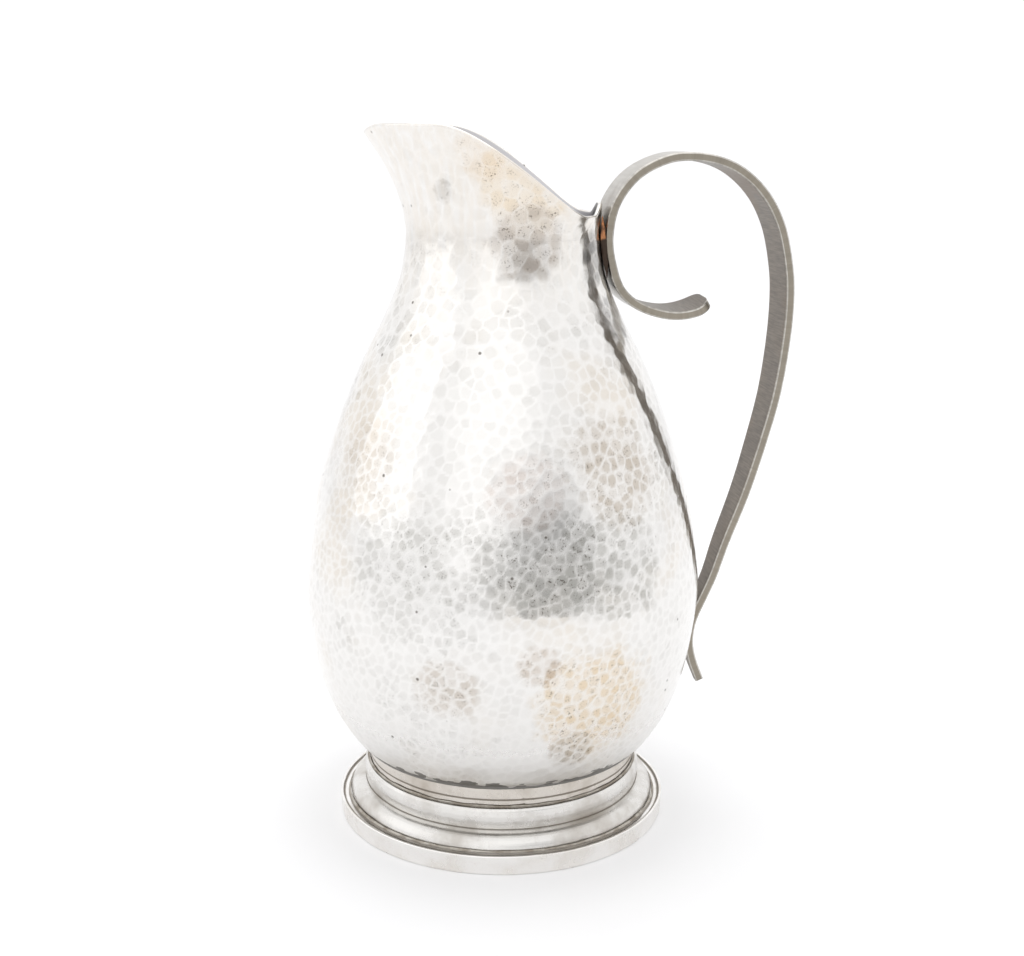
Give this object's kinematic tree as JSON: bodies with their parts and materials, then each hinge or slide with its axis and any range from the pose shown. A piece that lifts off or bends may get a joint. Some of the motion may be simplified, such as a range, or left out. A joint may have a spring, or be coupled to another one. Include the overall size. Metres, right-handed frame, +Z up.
{
  "type": "water pitcher",
  "caption": "Hammered silver water pitcher: pear-shaped body with a pulled spout, stepped foot and scrolled strap handle.",
  "frame": {"origin": "middle of the whole pitcher's footprint, on the surface that it stands on", "axes": "+Z up, +X towards the handle, the spout towards -X"},
  "size_m": [0.1884, 0.1542, 0.2692],
  "materials": {
    "hammered_silver": "hammered bright metal with light tarnish",
    "polished_silver": "polished, with grime in the grooves",
    "dull_silver": "brushed, dulled by tarnish",
    "grey_solder": "dull",
    "copper_braze": "satin, coppery"
  },
  "bodies": {
    "root": {"base_band": "polished_silver", "foot_moulding": "polished_silver", "collar_band": "polished_silver", "body_shell": "hammered_silver", "strap_handle": "dull_silver", "base_solder": "grey_solder", "collar_solder": "grey_solder", "body_solder": "grey_solder", "neck_braze_front": "copper_braze", "neck_braze_rear": "copper_braze", "tail_braze_front": "copper_braze", "tail_braze_rear": "copper_braze"}
  },
  "joints": []
}
